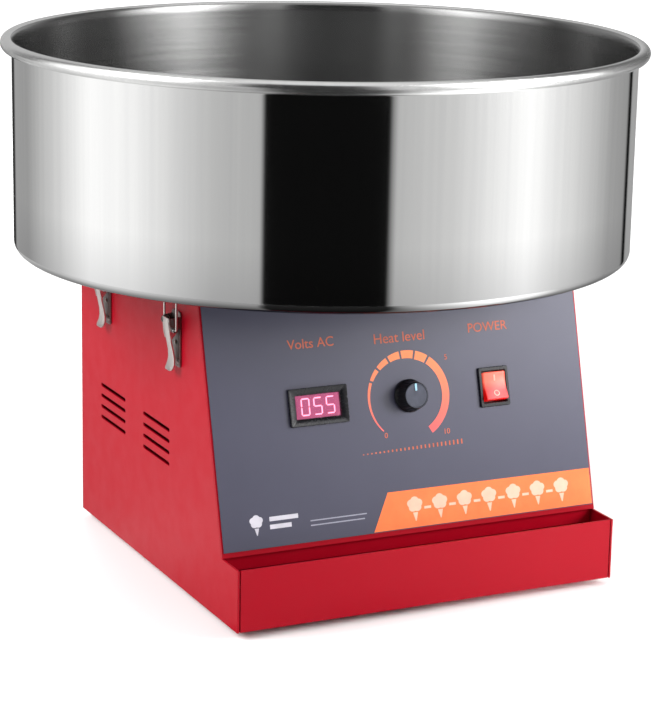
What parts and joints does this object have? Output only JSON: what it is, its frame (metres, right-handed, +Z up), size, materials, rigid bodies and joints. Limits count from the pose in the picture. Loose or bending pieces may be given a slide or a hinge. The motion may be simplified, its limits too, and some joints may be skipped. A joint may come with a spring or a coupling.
{
  "type": "cotton candy machine",
  "caption": "Tabletop cotton candy machine: round steel bowl latched on a red sheet-steel cabinet with a sloped control console, spinner head and pull-out drawer.",
  "frame": {"origin": "on the floor under the spinner's axis, at the middle of the whole machine's footprint", "axes": "+Z up, -Y out of the front of the machine, +X to the right of someone facing it"},
  "size_m": [0.52, 0.52, 0.421],
  "materials": {
    "red_paint": "semi-gloss red powder coat on folded sheet steel",
    "panel_film": "fine matte grey polyester film with printed graphics",
    "black_plastic": "moulded black plastic",
    "knob_plastic": "moulded soft-sheen black knob",
    "rubber": "moulded rubber",
    "meter_window": "tinted clear window over lit digits",
    "rocker_plastic": "translucent red rocker, lit from inside",
    "zinc_plate": "bright zinc plating",
    "latch_nickel": "nickel plating on pressed steel",
    "shaft_steel": "ground steel",
    "cast_aluminium": "turned cast aluminium",
    "brass": "plain brass",
    "carbon": "pressed carbon and copper",
    "motor_paint": "dark grey enamel",
    "circuit_board": "green solder mask",
    "heater_ribbon": "heat-tinted resistance ribbon",
    "band_steel": "slotted stainless strip",
    "bowl_steel": "bright rolled stainless sheet with a fine upright grain",
    "silicone": "moulded silicone"
  },
  "bodies": {
    "cabinet": {"side_panel_left": "red_paint", "side_panel_right": "red_paint", "rear_panel": "red_paint", "front_panel": "red_paint", "top_deck": "red_paint", "base_plate": "red_paint", "drawer_shelf": "red_paint", "panel_overlay": "panel_film", "cord_gland": "black_plastic", "foot_front_left": "rubber", "foot_front_right": "rubber", "foot_rear_left": "rubber", "foot_rear_right": "rubber", "voltmeter_body": "black_plastic", "voltmeter_window": "meter_window", "switch_housing": "black_plastic", "potentiometer": "zinc_plate", "potentiometer_nut": "zinc_plate", "control_board": "circuit_board", "triac_heat_sink": "cast_aluminium", "motor_can": "motor_paint", "motor_end_cap": "cast_aluminium", "motor_bracket": "zinc_plate", "brush_holder": "black_plastic", "brush_terminal_lower": "brass", "brush_terminal_upper": "brass", "bowl": "bowl_steel", "bowl_gasket": "silicone", "latch_base_front_left": "latch_nickel", "bowl_catch_front_left": "bowl_steel", "latch_base_rear_left": "latch_nickel", "bowl_catch_rear_left": "bowl_steel", "latch_base_front_right": "latch_nickel", "bowl_catch_front_right": "bowl_steel", "latch_base_rear_right": "latch_nickel", "bowl_catch_rear_right": "bowl_steel"},
    "drawer": {"drawer_tray": "red_paint"},
    "spinner": {"motor_shaft": "shaft_steel", "cooling_fan": "black_plastic", "slip_ring_hub": "black_plastic", "slip_ring_lower": "brass", "slip_ring_upper": "brass", "head_base": "cast_aluminium", "head_heater": "heater_ribbon", "head_band": "band_steel", "head_cap": "cast_aluminium", "head_nut": "zinc_plate"},
    "knob": {"temperature_knob": "knob_plastic", "potentiometer_shaft": "zinc_plate"},
    "rocker": {"switch_rocker": "rocker_plastic"},
    "brush_lower": {"carbon_brush_lower": "carbon"},
    "brush_upper": {"carbon_brush_upper": "carbon"},
    "lever_front_left": {"latch_lever_front_left": "latch_nickel"},
    "bail_front_left": {"latch_bail_front_left": "latch_nickel"},
    "lever_rear_left": {"latch_lever_rear_left": "latch_nickel"},
    "bail_rear_left": {"latch_bail_rear_left": "latch_nickel"},
    "lever_front_right": {"latch_lever_front_right": "latch_nickel"},
    "bail_front_right": {"latch_bail_front_right": "latch_nickel"},
    "lever_rear_right": {"latch_lever_rear_right": "latch_nickel"},
    "bail_rear_right": {"latch_bail_rear_right": "latch_nickel"}
  },
  "joints": [
    {"name": "drawer_slide", "type": "slide", "parent": "cabinet", "child": "drawer", "axis": [0, -1, 0], "range_m": [0, 0.15]},
    {"name": "spinner_spin", "type": "hinge", "parent": "cabinet", "child": "spinner", "pos_m": [0, 0, 0.3], "axis": [0, 0, 1], "continuous": true},
    {"name": "knob_turn", "type": "hinge", "parent": "cabinet", "child": "knob", "pos_m": [0.0057, -0.14831, 0.15835], "axis": [0, -0.9659, 0.2588], "range_deg": [-140, 140]},
    {"name": "rocker_tilt", "type": "hinge", "parent": "cabinet", "child": "rocker", "pos_m": [0.081, -0.14879, 0.15848], "axis": [1, 0, 0], "range_deg": [0, 20]},
    {"name": "brush_lower_slide", "type": "slide", "parent": "cabinet", "child": "brush_lower", "axis": [1, 0, 0], "range_m": [0, 0.004], "stiffness_N_per_m": 150, "springref_m": -0.004},
    {"name": "brush_upper_slide", "type": "slide", "parent": "cabinet", "child": "brush_upper", "axis": [1, 0, 0], "range_m": [0, 0.004], "stiffness_N_per_m": 150, "springref_m": -0.004},
    {"name": "lever_front_left_turn", "type": "hinge", "parent": "cabinet", "child": "lever_front_left", "pos_m": [-0.17, -0.086, 0.22], "axis": [0, 1, 0], "range_deg": [0, 100]},
    {"name": "bail_front_left_turn", "type": "hinge", "parent": "lever_front_left", "child": "bail_front_left", "pos_m": [-0.169, -0.086, 0.214], "axis": [0, 1, 0], "range_deg": [-86, 0]},
    {"name": "lever_rear_left_turn", "type": "hinge", "parent": "cabinet", "child": "lever_rear_left", "pos_m": [-0.17, 0.064, 0.22], "axis": [0, 1, 0], "range_deg": [0, 100]},
    {"name": "bail_rear_left_turn", "type": "hinge", "parent": "lever_rear_left", "child": "bail_rear_left", "pos_m": [-0.169, 0.064, 0.214], "axis": [0, 1, 0], "range_deg": [-86, 0]},
    {"name": "lever_front_right_turn", "type": "hinge", "parent": "cabinet", "child": "lever_front_right", "pos_m": [0.17, -0.086, 0.22], "axis": [0, -1, 0], "range_deg": [0, 100]},
    {"name": "bail_front_right_turn", "type": "hinge", "parent": "lever_front_right", "child": "bail_front_right", "pos_m": [0.169, -0.086, 0.214], "axis": [0, -1, 0], "range_deg": [-86, 0]},
    {"name": "lever_rear_right_turn", "type": "hinge", "parent": "cabinet", "child": "lever_rear_right", "pos_m": [0.17, 0.064, 0.22], "axis": [0, -1, 0], "range_deg": [0, 100]},
    {"name": "bail_rear_right_turn", "type": "hinge", "parent": "lever_rear_right", "child": "bail_rear_right", "pos_m": [0.169, 0.064, 0.214], "axis": [0, -1, 0], "range_deg": [-86, 0]}
  ],
  "couplings": [
    {"joint": "bail_front_left_turn", "follows": "lever_front_left_turn", "ratio": -0.855},
    {"joint": "bail_rear_left_turn", "follows": "lever_rear_left_turn", "ratio": -0.855},
    {"joint": "bail_front_right_turn", "follows": "lever_front_right_turn", "ratio": -0.855},
    {"joint": "bail_rear_right_turn", "follows": "lever_rear_right_turn", "ratio": -0.855}
  ]
}
